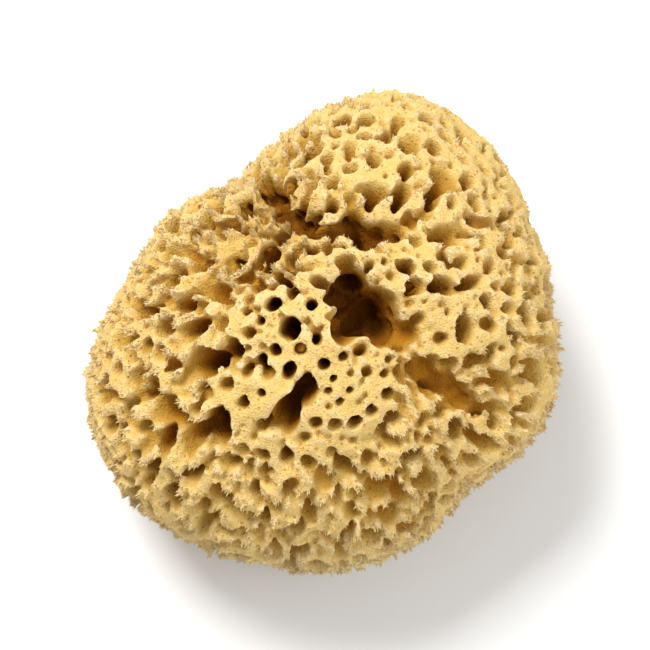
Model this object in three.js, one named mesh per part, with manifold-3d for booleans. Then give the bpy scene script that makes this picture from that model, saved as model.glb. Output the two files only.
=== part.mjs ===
// A natural honeycomb bath sponge, in millimetres, +Z up.
// It grew as one body: a dome of two lobes parted by a furrow, with canals opening all over its skin.
// It rests on the flat face where it was cut from the rock. The origin is in the middle of its
// footprint, on that face.

import * as THREE from "three";
import { mergeVertices } from "three/addons/utils/BufferGeometryUtils.js";
import Module from "manifold-3d";

const wasm = await Module();
wasm.setup();

// Driving dimensions of the dome, measured from its heart.
const HALF_WIDTH = 68; // along X, before the lobes swell it
const HALF_DEPTH = 69; // along Y
const HALF_HEIGHT = 52; // up to the crown
const HEART_HEIGHT = 38; // from the cut base up to the heart
const SKIN_DETAIL = 9; // cuts along each edge of the starting icosahedron

// Where the growth swelled or held back. Directions are degrees round from +X and up from the level.
const LOBES = [
  { around: 64, up: 15, swell: 12, spread: 34 }, // crest of the crescent lobe
  { around: 5, up: 20, swell: 5, spread: 34 }, // its flank
  { around: -28, up: 5, swell: 7, spread: 22 }, // its lower end
  { around: -136, up: 5, swell: 10, spread: 34 }, // shoulder of the main lobe
  { around: -112, up: 55, swell: 3, spread: 30 }, // plate on its crown
  { around: -80, up: -5, swell: 8, spread: 30 }, // foot of the main lobe
  { around: 122, up: 10, swell: -16, spread: 38 }, // side that was held back
  { around: 148, up: 66, swell: -6, spread: 17 }, // hollow between the lobes
  { around: 174, up: 10, swell: -5, spread: 20 },
  { around: -48, up: 0, swell: -4, spread: 13 }, // notch where the lobes meet
];

// Furrows, each a row of canals that ran together. radius and depth are those of the canals, and
// valley is how far the skin rolls down towards them.
const FURROWS = [
  {
    path: [[118, 26], [115, 49], [106, 71], [77, 77], [48, 70], [30, 64], [19, 62]],
    radius: 3.4,
    depth: 14,
    valley: 5,
  },
  { path: [[-38, 77], [-45, 69], [-41, 62]], radius: 6.6, depth: 26, valley: 3 },
  { path: [[-40, 56], [-42, 47], [-44, 39], [-40, 33], [-37, 25]], radius: 3.4, depth: 8, valley: 3 },
];
const FURROW_STEP = 6; // degrees from canal to canal along a furrow
const VALLEY_SPREAD = 9; // degrees

// The widest canals, as found on the crown and its shoulders.
const PITS = [
  { around: -109, up: 67, radius: 3.3, depth: 18 },
  { around: -93, up: 51, radius: 3.4, depth: 18 },
  { around: -99, up: 45, radius: 3.6, depth: 18 },
  { around: -120, up: 37, radius: 4.2, depth: 16 },
  { around: -125, up: 32, radius: 3.6, depth: 14 },
  { around: -136, up: 32, radius: 4.2, depth: 14 },
  { around: -137, up: 47, radius: 4.0, depth: 16 },
  { around: -132, up: 54, radius: 3.0, depth: 14 },
  { around: 42, up: 54, radius: 3.8, depth: 18 },
  { around: 37, up: 43, radius: 4.2, depth: 14 },
  { around: 52, up: 59, radius: 3.2, depth: 14 },
  { around: 15, up: 49, radius: 4.2, depth: 14 },
  { around: -2, up: 62, radius: 2.7, depth: 14 },
  { around: -1, up: 54, radius: 2.6, depth: 14 },
  { around: -14, up: 59, radius: 2.9, depth: 14 },
  { around: -9, up: 50, radius: 4.0, depth: 16 },
  { around: -4, up: 42, radius: 3.2, depth: 14 },
  { around: -23, up: 42, radius: 3.6, depth: 14 },
  { around: -17, up: 28, radius: 3.4, depth: 12 },
  { around: -7, up: 20, radius: 3.6, depth: 12 },
  { around: -47, up: 26, radius: 3.6, depth: 15 },
  { around: -61, up: 28, radius: 3.0, depth: 12 },
  { around: -60, up: 20, radius: 4.0, depth: 12 },
  { around: -72, up: 23, radius: 4.2, depth: 12 },
];

// The smaller canals, spread evenly all round.
const CANAL_COUNT = 130; // over a whole sphere, of which the upper part is cut
const CANAL_LOWEST = -22; // degrees up
const CANAL_RADIUS = 2.6;
const CANAL_DEPTH = 9;
const CANAL_GAP = 2.4; // least wall left between it and a wider hole

const GOLDEN_ANGLE = Math.PI * (3 - Math.sqrt(5));
const LATHE_AXIS = new THREE.Vector3(0, 1, 0);

function direction(around, up) {
  const [a, e] = [around, up].map(THREE.MathUtils.degToRad);
  return new THREE.Vector3(Math.cos(e) * Math.cos(a), Math.cos(e) * Math.sin(a), Math.sin(e));
}

function degreesBetween(a, b) {
  return THREE.MathUtils.radToDeg(a.angleTo(b));
}

// Directions along a furrow, FURROW_STEP apart.
function stepsAlong(path) {
  const corners = path.map(([around, up]) => direction(around, up));
  return corners.slice(1).flatMap((end, i) => {
    const start = corners[i];
    const count = Math.max(1, Math.round(degreesBetween(start, end) / FURROW_STEP));
    return Array.from({ length: count + 1 }, (_, k) => start.clone().lerp(end, k / count).normalize());
  });
}

const lobes = LOBES.map((lobe) => ({ ...lobe, towards: direction(lobe.around, lobe.up) }));
const furrows = FURROWS.map((furrow) => ({ ...furrow, steps: stepsAlong(furrow.path) }));
const furrowCanals = furrows.flatMap(({ steps, radius, depth }) =>
  steps.map((towards) => ({ towards, radius, depth })),
);
const pitCanals = PITS.map(({ around, up, radius, depth }) => ({
  towards: direction(around, up),
  radius,
  depth,
}));

// How far the skin lies from the heart in a direction.
function reach(towards) {
  const plain = 1 / Math.hypot(
    towards.x / HALF_WIDTH,
    towards.y / HALF_DEPTH,
    towards.z / HALF_HEIGHT,
  );
  const swelling = lobes.reduce((sum, lobe) => {
    const away = degreesBetween(towards, lobe.towards) / lobe.spread;
    return sum + lobe.swell * Math.exp(-(away ** 2));
  }, 0);
  const dips = furrows.map(({ steps, valley }) => {
    const nearest = Math.min(...steps.map((step) => degreesBetween(towards, step)));
    return valley * Math.exp(-((nearest / VALLEY_SPREAD) ** 2));
  });
  return plain + swelling - Math.max(...dips);
}

// A manifold-3d solid from a closed three.js geometry.
function solidOf(geometry) {
  const bare = geometry.clone();
  bare.deleteAttribute("normal");
  bare.deleteAttribute("uv");
  const merged = mergeVertices(bare, 1e-3);
  return new wasm.Manifold(
    new wasm.Mesh({
      numProp: 3,
      vertProperties: merged.attributes.position.array,
      triVerts: new Uint32Array(merged.index.array),
    }),
  );
}

function geometryOf(solid) {
  const { vertProperties, triVerts } = solid.getMesh();
  const geometry = new THREE.BufferGeometry();
  geometry.setAttribute("position", new THREE.BufferAttribute(new Float32Array(vertProperties), 3));
  geometry.setIndex(new THREE.BufferAttribute(new Uint32Array(triVerts), 1));
  return geometry;
}

// The lobed dome before any canal opens, with its flat cut base at z = 0.
function dome() {
  const skin = new THREE.IcosahedronGeometry(1, SKIN_DETAIL);
  const corner = skin.attributes.position;
  const point = new THREE.Vector3();
  for (let i = 0; i < corner.count; i += 1) {
    point.fromBufferAttribute(corner, i).normalize();
    point.multiplyScalar(reach(point));
    corner.setXYZ(i, point.x, point.y, point.z + HEART_HEIGHT);
  }
  const below = new THREE.BoxGeometry(4 * HALF_WIDTH, 4 * HALF_DEPTH, 2 * HALF_HEIGHT);
  below.translate(0, 0, -HALF_HEIGHT);
  return solidOf(skin).subtract(solidOf(below));
}

// One canal to cut away: a round, tapering hole that flares where it opens.
function canalCutter({ towards, radius, depth }) {
  const sides = radius > 4 ? 8 : 6;
  const profile = [
    [0, -depth],
    [0.6 * radius, -depth],
    [1.1 * radius, 0],
    [1.5 * radius, 2 * radius],
    [0, 2 * radius],
  ].map(([x, y]) => new THREE.Vector2(x, y));
  const cutter = new THREE.LatheGeometry(profile, sides);
  cutter.applyQuaternion(new THREE.Quaternion().setFromUnitVectors(LATHE_AXIS, towards));
  const mouth = towards.clone().multiplyScalar(reach(towards));
  cutter.translate(mouth.x, mouth.y, mouth.z + HEART_HEIGHT);
  return solidOf(cutter);
}

// Even directions over the sphere, kept where they fall clear of the wider holes.
function smallCanals(wider) {
  const found = [];
  for (let i = 0; i < CANAL_COUNT; i += 1) {
    const z = 1 - (2 * i + 1) / CANAL_COUNT;
    const ring = Math.sqrt(1 - z * z);
    const turn = i * GOLDEN_ANGLE;
    const towards = new THREE.Vector3(ring * Math.cos(turn), ring * Math.sin(turn), z);
    const gap = (hole) => towards.angleTo(hole.towards) * reach(towards) - hole.radius - CANAL_RADIUS;
    const high = THREE.MathUtils.radToDeg(Math.asin(z)) > CANAL_LOWEST;
    if (high && wider.every((hole) => gap(hole) > CANAL_GAP)) {
      found.push({ towards, radius: CANAL_RADIUS, depth: CANAL_DEPTH });
    }
  }
  return found;
}

function sponge() {
  const wider = [...furrowCanals, ...pitCanals];
  const solid = [...wider, ...smallCanals(wider)].reduce(
    (body, canal) => body.subtract(canalCutter(canal)),
    dome(),
  );
  const geometry = geometryOf(solid);
  geometry.computeBoundingBox();
  const middle = geometry.boundingBox.getCenter(new THREE.Vector3());
  geometry.translate(-middle.x, -middle.y, 0);
  geometry.computeVertexNormals();

  const spongin = new THREE.MeshStandardMaterial({ color: 0xe0b973, roughness: 0.95, metalness: 0 });
  const mesh = new THREE.Mesh(geometry, spongin);
  mesh.name = "sponge";
  return mesh;
}

const part = new THREE.Group();
part.add(sponge());

export default part;
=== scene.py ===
"""A natural honeycomb bath sponge, resting on the flat face where it was cut from the rock.

The sponge grew as one body, so its visual model is that body with its canals, and the conules and
fibres of spongin that fringe its skin. Lengths are in metres and angles in degrees. A direction is
given from the sponge's heart, as degrees round from +X and degrees up from the level.
"""

from __future__ import annotations

import logging
import math
import sys
from dataclasses import dataclass, field, fields
from enum import Enum
from typing import Iterable, Sequence

import bpy
import numpy as np
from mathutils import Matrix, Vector
from mathutils.kdtree import KDTree

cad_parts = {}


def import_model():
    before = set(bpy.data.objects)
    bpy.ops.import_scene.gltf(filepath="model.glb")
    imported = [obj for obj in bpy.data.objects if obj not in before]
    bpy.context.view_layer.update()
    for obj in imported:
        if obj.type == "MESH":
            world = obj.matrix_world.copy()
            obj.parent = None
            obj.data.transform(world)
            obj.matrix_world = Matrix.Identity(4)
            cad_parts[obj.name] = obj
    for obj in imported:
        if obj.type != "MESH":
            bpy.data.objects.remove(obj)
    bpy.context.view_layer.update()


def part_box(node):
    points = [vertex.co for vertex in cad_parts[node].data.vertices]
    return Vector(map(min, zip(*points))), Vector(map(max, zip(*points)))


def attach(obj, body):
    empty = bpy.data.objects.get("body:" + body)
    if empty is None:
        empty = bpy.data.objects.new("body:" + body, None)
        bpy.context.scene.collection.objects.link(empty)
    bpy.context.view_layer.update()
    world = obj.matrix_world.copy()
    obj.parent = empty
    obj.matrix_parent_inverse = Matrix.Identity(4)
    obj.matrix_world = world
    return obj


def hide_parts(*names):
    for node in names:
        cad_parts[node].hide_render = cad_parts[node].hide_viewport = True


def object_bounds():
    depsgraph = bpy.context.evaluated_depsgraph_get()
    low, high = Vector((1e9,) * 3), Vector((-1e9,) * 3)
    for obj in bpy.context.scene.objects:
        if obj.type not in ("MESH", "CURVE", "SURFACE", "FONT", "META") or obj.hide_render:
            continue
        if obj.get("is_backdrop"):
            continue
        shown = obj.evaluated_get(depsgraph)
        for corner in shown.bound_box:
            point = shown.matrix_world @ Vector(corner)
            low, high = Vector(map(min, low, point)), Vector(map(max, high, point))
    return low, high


LOG = logging.getLogger("sponge")
MM = 0.001
PerRegion = tuple[float, float, float, float]  # a number for each kind of skin, in Region's order


# ---------------------------------------------------------------------------------------------
# Small helpers for objects, operators and directions
# ---------------------------------------------------------------------------------------------


def direction(around: float, up: float) -> np.ndarray:
    """Gives a unit vector from the heart.

    Args:
        around: Degrees round from +X, towards +Y.
        up: Degrees above the level.

    Returns:
        The unit vector.
    """
    a, e = math.radians(around), math.radians(up)
    return np.array([math.cos(e) * math.cos(a), math.cos(e) * math.sin(a), math.sin(e)])


def degrees_between(many: np.ndarray, one: np.ndarray) -> np.ndarray:
    """Gives the angle from each of many unit vectors to one.

    Args:
        many: Unit vectors, one a row.
        one: A unit vector.

    Returns:
        The angles in degrees.
    """
    return np.degrees(np.arccos(np.clip(many @ one, -1.0, 1.0)))


def smooth_step(low: float, high: float, values: np.ndarray) -> np.ndarray:
    """Rises smoothly from 0 at low to 1 at high.

    Args:
        low: Where the rise starts.
        high: Where it ends.
        values: The values to judge.

    Returns:
        Numbers from 0 to 1.
    """
    t = np.clip((values - low) / (high - low), 0.0, 1.0)
    return t * t * (3.0 - 2.0 * t)


def pick(piece: bpy.types.Object) -> None:
    """Makes a piece the only one selected, and the one that the next operator acts on."""
    bpy.ops.object.select_all(action="DESELECT")
    piece.select_set(True)
    bpy.context.view_layer.objects.active = piece


def discard(piece: bpy.types.Object) -> None:
    """Removes a piece that was only a tool, with its mesh."""
    mesh = piece.data
    bpy.data.objects.remove(piece)
    bpy.data.meshes.remove(mesh)


def finish_with(piece: bpy.types.Object, kind: str, **settings: object) -> None:
    """Adds a modifier to a piece and applies it.

    Args:
        piece: The object to change.
        kind: The modifier's type, such as REMESH.
        **settings: The modifier's properties.
    """
    pick(piece)
    modifier = piece.modifiers.new(kind.title(), kind)
    for name, value in settings.items():
        setattr(modifier, name, value)
    bpy.ops.object.modifier_apply(modifier=modifier.name)


def points_of(mesh: bpy.types.Mesh) -> np.ndarray:
    """Gives a mesh's vertices, one a row."""
    flat = np.empty(3 * len(mesh.vertices), dtype=np.float32)
    mesh.vertices.foreach_get("co", flat)
    return flat.reshape(-1, 3).astype(float)


def move_points(mesh: bpy.types.Mesh, points: np.ndarray) -> None:
    """Puts a mesh's vertices where the rows of points say."""
    mesh.vertices.foreach_set("co", points.astype(np.float32).ravel())
    mesh.update()


def normals_of(mesh: bpy.types.Mesh) -> np.ndarray:
    """Gives the normal at each vertex, one a row."""
    flat = np.empty(3 * len(mesh.vertices), dtype=np.float32)
    mesh.vertex_normals.foreach_get("vector", flat)
    return flat.reshape(-1, 3).astype(float)


def edges_of(mesh: bpy.types.Mesh) -> np.ndarray:
    """Gives the two vertex numbers of each edge, one edge a row."""
    flat = np.empty(2 * len(mesh.edges), dtype=np.int32)
    mesh.edges.foreach_get("vertices", flat)
    return flat.reshape(-1, 2)


def store(mesh: bpy.types.Mesh, name: str, values: np.ndarray) -> None:
    """Keeps one number for each vertex, for a material to read by name."""
    layer = mesh.attributes.new(name, "FLOAT", "POINT")
    layer.data.foreach_set("value", values.astype(np.float32))


def kept(mesh: bpy.types.Mesh, name: str) -> np.ndarray:
    """Gives back the numbers that store() kept."""
    values = np.empty(len(mesh.vertices), dtype=np.float32)
    mesh.attributes[name].data.foreach_get("value", values)
    return values.astype(float)


def ring_stack(
    sides: int, radius: float, foot: float, steps: Iterable[tuple[float, float]]
) -> bpy.types.Object:
    """Models a closed stack of rings, each extruded from the one below it.

    Args:
        sides: The number of sides of every ring.
        radius: The lowest ring's radius.
        foot: The lowest ring's height.
        steps: How far each further ring rises, and how many times wider it is than the one below.
            Where that is 0, the ring is drawn together into a point.

    Returns:
        The stack, with its faces pointing outwards.
    """
    bpy.ops.object.select_all(action="DESELECT")
    bpy.ops.mesh.primitive_circle_add(
        vertices=sides, radius=radius, fill_type="NGON", location=(0, 0, foot)
    )
    stack = bpy.context.object
    bpy.ops.object.transform_apply(location=True)
    bpy.ops.object.mode_set(mode="EDIT")
    bpy.ops.mesh.select_all(action="SELECT")
    for rise, wider in steps:
        bpy.ops.mesh.extrude_region_move(TRANSFORM_OT_translate={"value": (0, 0, rise)})
        if wider:
            bpy.ops.transform.resize(value=(wider, wider, 1.0))
        else:
            bpy.ops.mesh.merge(type="CENTER")
    bpy.ops.mesh.select_all(action="SELECT")
    bpy.ops.mesh.normals_make_consistent(inside=False)
    bpy.ops.object.mode_set(mode="OBJECT")
    return stack


def taken_apart(model: bpy.types.Object) -> tuple[np.ndarray, list[list[int]]]:
    """Gives a model's vertices, and its faces as rows of vertex numbers, and removes the model."""
    points = points_of(model.data)
    faces = [list(face.vertices) for face in model.data.polygons]
    discard(model)
    return points, faces


def stood_up(shapes: np.ndarray, frames: np.ndarray, roots: np.ndarray) -> np.ndarray:
    """Turns each copy of a model into its frame and moves it to its root.

    Args:
        shapes: The vertices of each copy, by copy and by vertex.
        frames: A 3 by 3 matrix for each copy, as from frames_along().
        roots: Where each copy's origin goes.

    Returns:
        The vertices in their places.
    """
    return np.einsum("nij,nkj->nki", frames, shapes) + roots[:, None, :]


def joined_copies(name: str, shapes: np.ndarray, faces: Sequence[Sequence[int]]) -> bpy.types.Object:
    """Makes one object from copies of a model.

    Args:
        name: The object's name.
        shapes: The vertices of each copy, by copy and by vertex.
        faces: The faces of the model, as rows of vertex numbers.

    Returns:
        The new object, linked to the scene.
    """
    copies, corners = shapes.shape[:2]
    rows = [[corner + k * corners for corner in face] for k in range(copies) for face in faces]
    mesh = bpy.data.meshes.new(name)
    mesh.from_pydata(shapes.reshape(-1, 3).tolist(), [], rows)
    mesh.update()
    piece = bpy.data.objects.new(name, mesh)
    bpy.context.scene.collection.objects.link(piece)
    return piece


def frames_along(axes: np.ndarray, headings: np.ndarray) -> np.ndarray:
    """Gives a frame for each axis.

    Args:
        axes: Unit vectors, one a row, which become each frame's third direction.
        headings: Radians round from +X to where each frame's first direction points, seen from above.

    Returns:
        An array of 3 by 3 matrices, whose columns are the frame's directions.
    """
    # The dip keeps a first direction even where an axis is level and its heading lies along it.
    dip = np.full(len(axes), -0.05)
    ahead = np.stack([np.cos(headings), np.sin(headings), dip], axis=1)
    first = ahead - (ahead * axes).sum(axis=1, keepdims=True) * axes
    first /= np.linalg.norm(first, axis=1, keepdims=True)
    return np.stack([first, np.cross(axes, first), axes], axis=2)


# ---------------------------------------------------------------------------------------------
# The shape that grew: the dome with its lobes and furrows
# ---------------------------------------------------------------------------------------------


@dataclass(frozen=True)
class Lobe:
    """A place where the growth swelled, or held back where swell is below 0."""

    around: float
    up: float
    swell: float
    spread: float


@dataclass(frozen=True)
class Furrow:
    """A row of canals that ran together into a trench.

    path holds its corners as (around, up), radius and depth are those of its canals, and valley is
    how far the skin rolls down towards them. gaps is the share of its canals that are missing, where
    it is bridged, windows is how many smaller canals open in its walls, and wander is how far its
    canals stray from the path, along which they stand step degrees apart.
    """

    path: tuple[tuple[float, float], ...]
    radius: float
    depth: float
    valley: float
    gaps: float
    windows: int
    wander: float
    step: float = 3.0

    def directions(self) -> np.ndarray:
        """Gives the directions of its canals, one a row."""
        corners = [direction(*corner) for corner in self.path]
        rows = []
        for start, end in zip(corners[:-1], corners[1:]):
            span = float(degrees_between(start[None], end)[0])
            count = max(1, round(span / self.step))
            for k in range(count + 1):
                row = start + (end - start) * k / count
                rows.append(row / np.linalg.norm(row))
        return np.array(rows)


@dataclass
class Dome:
    """The sponge's outer form before any canal opens, with its flat cut base.

    valley_spread is how far, in degrees, a valley reaches from its furrow, and undulations are the
    size and height of the swells of its skin.
    """

    half_sizes: tuple[float, float, float] = (68 * MM, 69 * MM, 52 * MM)  # before the lobes swell it
    heart_height: float = 38 * MM
    valley_spread: float = 8.0
    undulations: tuple[tuple[float, float], ...] = ((14 * MM, 3.5 * MM), (6 * MM, 1.8 * MM))
    lobes: tuple[Lobe, ...] = (
        Lobe(64, 15, 12 * MM, 34),  # crest of the crescent lobe
        Lobe(5, 20, 5 * MM, 34),  # its flank
        Lobe(-28, 5, 7 * MM, 22),  # its lower end
        Lobe(-136, 5, 10 * MM, 34),  # shoulder of the main lobe
        Lobe(-112, 55, 3 * MM, 30),  # plate on its crown
        Lobe(-80, -5, 8 * MM, 30),  # foot of the main lobe
        Lobe(122, 10, -16 * MM, 38),  # side that was held back
        Lobe(148, 66, -6 * MM, 17),  # hollow between the lobes
        Lobe(174, 10, -5 * MM, 20),
        Lobe(-48, 0, -4 * MM, 13),  # notch where the lobes meet
    )
    furrows: tuple[Furrow, ...] = (
        Furrow(  # between the lobes
            path=((118, 26), (115, 49), (106, 71), (77, 77), (48, 70), (30, 64), (19, 62)),
            radius=2.8 * MM,
            depth=14 * MM,
            valley=5 * MM,
            gaps=0.22,
            windows=70,
            wander=1.6 * MM,
        ),
        Furrow(  # the main cavity on the crown
            path=((-42, 74), (-41, 67), (-39, 60)),
            radius=4.0 * MM,
            depth=25 * MM,
            valley=3 * MM,
            gaps=0.0,
            windows=30,
            wander=2.6 * MM,
            step=0.9,
        ),
        Furrow(  # from the cavity down to the notch
            path=((-40, 56), (-42, 47), (-44, 39), (-40, 33), (-37, 25)),
            radius=2.8 * MM,
            depth=8 * MM,
            valley=3 * MM,
            gaps=0.2,
            windows=10,
            wander=1.5 * MM,
        ),
    )
    heart: np.ndarray = field(init=False)
    swells: np.ndarray = field(init=False, default_factory=lambda: np.zeros(0))
    swell_tree: KDTree = field(init=False, default_factory=lambda: KDTree(0))

    def __post_init__(self) -> None:
        """Finds the heart, so that the dome's footprint is centred in the frame's own box."""
        self.heart = np.array([0.0, 0.0, self.heart_height])
        turn = np.radians(np.arange(0, 360, 1.0))
        towards = np.array([direction(a, e) for e in range(-35, 36, 2) for a in np.degrees(turn)])
        skin = towards * self.reach(towards)[:, None]
        skin = skin[skin[:, 2] > -self.heart_height]
        low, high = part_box("sponge")
        middle = (np.array(low) + np.array(high)) / 2
        self.heart[:2] = middle[:2] - (skin.min(axis=0) + skin.max(axis=0))[:2] / 2

    def valleys(self, towards: np.ndarray) -> np.ndarray:
        """Gives how far the skin rolls down in each direction, towards the furrow that rules there."""
        dips = []
        for furrow in self.furrows:
            nearest = (towards @ furrow.directions().T).max(axis=1)
            away = np.degrees(np.arccos(np.clip(nearest, -1.0, 1.0)))
            dips.append(furrow.valley * np.exp(-((away / self.valley_spread) ** 2)))
        return np.max(dips, axis=0)

    def reach(self, towards: np.ndarray) -> np.ndarray:
        """Gives how far the skin lies from the heart.

        Args:
            towards: Unit vectors, one a row.

        Returns:
            The distance for each.
        """
        plain = 1.0 / np.linalg.norm(towards / np.array(self.half_sizes), axis=1)
        for lobe in self.lobes:
            away = degrees_between(towards, direction(lobe.around, lobe.up))
            plain = plain + lobe.swell * np.exp(-((away / lobe.spread) ** 2))
        return plain - self.valleys(towards)

    def uneven_reach(self, towards: np.ndarray) -> np.ndarray:
        """Gives how far the skin lies from the heart, with the small swells of the finished dome."""
        reach = self.reach(towards)
        if not len(self.swells):
            return reach
        near = [[number for _, number, _ in self.swell_tree.find_n(row, 3)] for row in towards]
        return reach + self.swells[np.array(near)].mean(axis=1)

    def keep_swells(self, points: np.ndarray) -> None:
        """Keeps how far the skin's points stand above or below the even shape."""
        ray = points - self.heart
        length = np.linalg.norm(ray, axis=1)
        towards = ray / length[:, None]
        self.swell_tree = KDTree(len(points))
        for number, row in enumerate(towards):
            self.swell_tree.insert(row, number)
        self.swell_tree.balance()
        self.swells = length - self.reach(towards)

    def on_skin(self, towards: np.ndarray) -> np.ndarray:
        """Gives the points of the skin in those directions."""
        return self.heart + towards * self.uneven_reach(towards)[:, None]

    def seen_from_heart(self, points: np.ndarray) -> tuple[np.ndarray, np.ndarray]:
        """Gives each point's direction from the heart, and how far below the skin it lies.

        Args:
            points: Points in the frame, one a row.

        Returns:
            The unit vectors, and the depths below the skin.
        """
        ray = points - self.heart
        length = np.linalg.norm(ray, axis=1)
        towards = ray / length[:, None]
        return towards, self.uneven_reach(towards) - length

    def outwards(self, towards: np.ndarray) -> np.ndarray:
        """Gives the skin's outward normal in those directions, from points a small step apart."""
        frames = frames_along(towards, np.zeros(len(towards)))
        small = 0.01
        across, along = frames[:, :, 0], frames[:, :, 1]
        here = towards * self.reach(towards)[:, None]

        def beside(step: np.ndarray) -> np.ndarray:
            turned = towards + small * step
            turned /= np.linalg.norm(turned, axis=1, keepdims=True)
            return turned * self.reach(turned)[:, None] - here

        normal = np.cross(beside(across), beside(along))
        return normal / np.linalg.norm(normal, axis=1, keepdims=True)

    def build(self) -> bpy.types.Object:
        """Shapes a ball into the dome and cuts its base flat.

        Returns:
            The dome, closed.
        """
        bpy.ops.object.select_all(action="DESELECT")
        bpy.ops.mesh.primitive_ico_sphere_add(subdivisions=7, radius=1.0, location=(0, 0, 0))
        dome = bpy.context.object
        dome.name = "dome"
        towards = points_of(dome.data)
        towards /= np.linalg.norm(towards, axis=1, keepdims=True)
        move_points(dome.data, self.on_skin(towards))
        for size, height in self.undulations:
            self.undulate(dome, size, height)
        self.keep_swells(points_of(dome.data))
        bpy.ops.object.mode_set(mode="EDIT")
        bpy.ops.mesh.select_all(action="SELECT")
        bpy.ops.mesh.bisect(plane_co=(0, 0, 0), plane_no=(0, 0, 1), use_fill=True, clear_inner=True)
        bpy.ops.object.mode_set(mode="OBJECT")
        return dome

    @staticmethod
    def undulate(piece: bpy.types.Object, size: float, height: float, group: str = "") -> None:
        """Raises and lowers a skin, as nothing that grows is true.

        Args:
            piece: The object to change.
            size: How far it is from swell to swell.
            height: From the lowest to the highest.
            group: The vertex group whose weights say how much, or all alike where it is empty.
        """
        clouds = bpy.data.textures.new("swells", "CLOUDS")
        clouds.noise_scale = size
        clouds.noise_depth = 1
        finish_with(
            piece,
            "DISPLACE",
            texture=clouds,
            texture_coords="LOCAL",
            strength=height,
            mid_level=0.5,
            vertex_group=group,
        )


# ---------------------------------------------------------------------------------------------
# Where the canals open
# ---------------------------------------------------------------------------------------------


class Region(Enum):
    """The kinds of skin, by how the canals open there."""

    PLATE = "the felted plate on the main lobe's crown, and the bridge beside the cavity"
    CREST = "the open crest of the crescent lobe"
    FLANK = "the flanks, scooped into funnels"
    HOLLOW = "the ragged hollow between the lobes"


@dataclass(frozen=True)
class Patch:
    """A round patch of skin, which fades between two distances from its middle, in degrees."""

    around: float
    up: float
    inner: float
    outer: float

    def share(self, towards: np.ndarray) -> np.ndarray:
        """Gives 1 for the directions well inside it, and 0 for those outside."""
        away = degrees_between(towards, direction(self.around, self.up))
        return 1 - smooth_step(self.inner, self.outer, away)


HOLLOW_PATCH = Patch(146, 64, 15, 26)
PLATE_PATCH = Patch(-96, 59, 20, 32)
CREST_PATCH = Patch(42, 47, 30, 50)
BRIDGE_PATCH = Patch(-8, 55, 18, 28)
BRIDGE_FELT = Patch(-8, 55, 12, 19)  # where the bridge is felted, nearly as the plate is


@dataclass(frozen=True)
class Pit:
    """A canal with a place of its own.

    radius and depth are in millimetres. stretch is how much longer than wide its mouth is, heading is
    where the long way points, in degrees round from +X seen from above, and flare is how far its
    mouth widens.
    """

    around: float
    up: float
    radius: float
    depth: float
    stretch: float = 1.0
    heading: float = 0.0
    flare: float = 0.12


# The pits on the felted plate of the main lobe, with crisp round mouths.
PLATE_PITS = (
    Pit(-108, 67, 2.9, 20),
    Pit(-93, 75, 1.5, 14, 1, 0, 0.1),
    Pit(-69, 76, 1.5, 14, 1.3, 0, 0.1),
    Pit(-121, 77, 1.4, 13, 1.3, 90, 0.1),
    Pit(-130, 71, 1.7, 14, 1.3, 40),
    Pit(-141, 64, 1.1, 8, 1, 0, 0.1),
    Pit(-129, 65, 1.1, 10, 1, 0, 0.1),
    Pit(-112, 60, 1.6, 15, 1, 0, 0.1),
    Pit(-98, 62, 1.6, 15, 1, 0, 0.1),
    Pit(-117, 56, 1.4, 14, 1, 0, 0.1),
    Pit(-120, 52, 1.5, 8, 1, 0, 0.1),
    Pit(-102, 56, 1.8, 15, 1.3, 70),
    Pit(-111, 54, 1.7, 14, 1, 0, 0.1),
    Pit(-85, 58, 1.6, 13),
    Pit(-88, 65, 1.3, 13, 1.2, 80, 0.1),
    Pit(-76, 71, 1.1, 4, 1, 0, 0.1),
    Pit(-81, 54, 1, 12, 1, 0, 0),
    Pit(-75, 50, 1, 12, 1, 0, 0),
    Pit(-84, 51, 1, 9, 1, 0, 0),
    Pit(-80, 48, 1.1, 12, 1, 0, 0),
    Pit(-94, 51, 3.1, 17, 1.4, 55, 0.2),
    Pit(-100, 45, 3.7, 19, 1.3, 70, 0.4),
    Pit(-111, 49, 1.2, 8),
    Pit(-116, 45, 1.6, 13),
    Pit(-108, 41, 1.7, 12, 1, 0, 0.3),
    Pit(-130, 42, 1.8, 12, 1, 0, 0.4),
    Pit(-69, 43, 1.6, 12),
    Pit(-76, 42, 1.7, 14, 1.2, 20),
    Pit(-63, 39, 1.8, 13, 1.2, 30, 0.3),
    Pit(-61, 45, 1.6, 12, 1, 0, 0.3),
    Pit(-58, 50, 1.3, 6),
    Pit(-63, 59, 1.7, 7, 1.2, 30, 0.4),
    Pit(-74, 59, 1.3, 8),
    Pit(-78, 82, 1.6, 13, 1.5, 170),
)

# The pits on the shoulders of the main lobe, where wide canals lie open like scoops.
SHOULDER_PITS = (
    Pit(-132, 54, 2.5, 13, 1.3, 100, 0.3),
    Pit(-137, 47, 3.6, 17, 1.4, 170, 0.5),
    Pit(-120, 37, 3.8, 21, 1.4, 65, 0.3),
    Pit(-126, 32, 2.6, 12, 1.8, 55, 0.7),
    Pit(-132, 26, 2.9, 13, 1.4, 50, 0.5),
    Pit(-136, 32, 4.2, 13, 1.4, 160, 0.8),
    Pit(-47, 26, 2.8, 15, 1.1, 120, 0.3),
    Pit(-62, 28, 2.2, 13, 1.2, 0, 0.4),
    Pit(-61, 20, 2.9, 11, 1.2, 110, 0.8),
    Pit(-72, 23, 3.6, 13, 1.3, 170, 0.7),
)

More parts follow.
